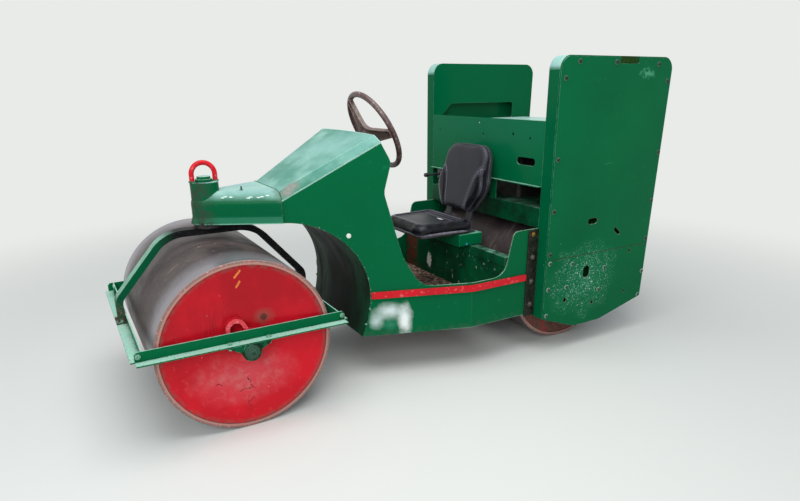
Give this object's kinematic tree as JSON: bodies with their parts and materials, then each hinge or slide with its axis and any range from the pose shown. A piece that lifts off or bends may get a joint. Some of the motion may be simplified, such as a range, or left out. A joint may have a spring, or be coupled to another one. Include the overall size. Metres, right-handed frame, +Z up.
{
  "type": "ride-on cricket pitch roller",
  "caption": "Ride-on pitch roller with plain steel rolls, a steered ring frame at the front, an open driver's seat and upright drive cases at the rear.",
  "frame": {"origin": "on the ground, midway along the length and on the centre plane", "axes": "-X is the driving direction, -Y is the machine's left side, +Z is up"},
  "size_m": [3.0175, 1.246, 1.641],
  "materials": {
    "green_enamel": "gloss green enamel on sheet and cast steel, chipped and faded",
    "red_enamel": "gloss red enamel, scratched and worn at the edges",
    "roll_steel": "bare rolled steel, dull brown-grey with light rust and turf scratches",
    "greased_steel": "steel under old black grease and dirt",
    "bright_steel": "turned steel with an oil film",
    "vinyl": "black coated seat fabric with stitched seams",
    "moulded_shell": "moulded dark plastic",
    "wheel_moulding": "dark brown hard moulding, dusty",
    "engine_iron": "cast iron, oily black"
  },
  "bodies": {
    "chassis": {"gooseneck": "green_enamel", "head_cap": "green_enamel", "lifting_eye": "red_enamel", "cowl_top": "green_enamel", "side_panel_left": "green_enamel", "side_panel_right": "green_enamel", "roll_guard": "green_enamel", "floor_plate": "greased_steel", "footwell_wall": "green_enamel", "rubbing_strips": "red_enamel", "joint_strips": "greased_steel", "case_left": "green_enamel", "case_right": "green_enamel", "case_upper_covers": "green_enamel", "case_lower_covers": "green_enamel", "back_panel": "green_enamel", "cross_plate_front": "green_enamel", "cross_plate_rear": "green_enamel", "engine_bed": "green_enamel", "engine_cover": "green_enamel", "rear_panel": "green_enamel", "engine": "engine_iron", "rear_axle": "bright_steel", "seat_box": "green_enamel", "seat_cushion": "vinyl", "seat_back": "vinyl", "seat_shell": "moulded_shell", "control_lever": "moulded_shell", "steering_column": "green_enamel", "steering_box": "green_enamel"},
    "steering_frame": {"kingpin": "greased_steel", "yoke": "greased_steel", "ring_frame_sides": "green_enamel", "ring_frame_ends": "green_enamel", "axle_hangers": "green_enamel", "front_axle": "bright_steel", "tow_lug": "green_enamel"},
    "front_roll": {"front_roll_shell": "roll_steel", "front_roll_ends": "red_enamel"},
    "rear_roll": {"rear_roll_shell": "roll_steel", "rear_roll_ends": "red_enamel"},
    "steering_wheel": {"steering_wheel": "wheel_moulding", "steering_shaft": "bright_steel"}
  },
  "joints": [
    {"name": "steering", "type": "hinge", "parent": "chassis", "child": "steering_frame", "pos_m": [-1.0225, 0, 0.95], "axis": [0, 0, 1], "range_deg": [-25, 25]},
    {"name": "front_roll_spin", "type": "hinge", "parent": "steering_frame", "child": "front_roll", "pos_m": [-1.0225, 0, 0.4], "axis": [0, 1, 0], "continuous": true},
    {"name": "rear_roll_spin", "type": "hinge", "parent": "chassis", "child": "rear_roll", "pos_m": [0.9775, 0, 0.4], "axis": [0, 1, 0], "continuous": true},
    {"name": "steering_wheel_turn", "type": "hinge", "parent": "chassis", "child": "steering_wheel", "pos_m": [-0.0895, 0, 1.272], "axis": [0.8886, 0, 0.4587], "range_deg": [-300, 300]}
  ],
  "couplings": [
    {"joint": "steering_wheel_turn", "follows": "steering", "ratio": 12}
  ]
}
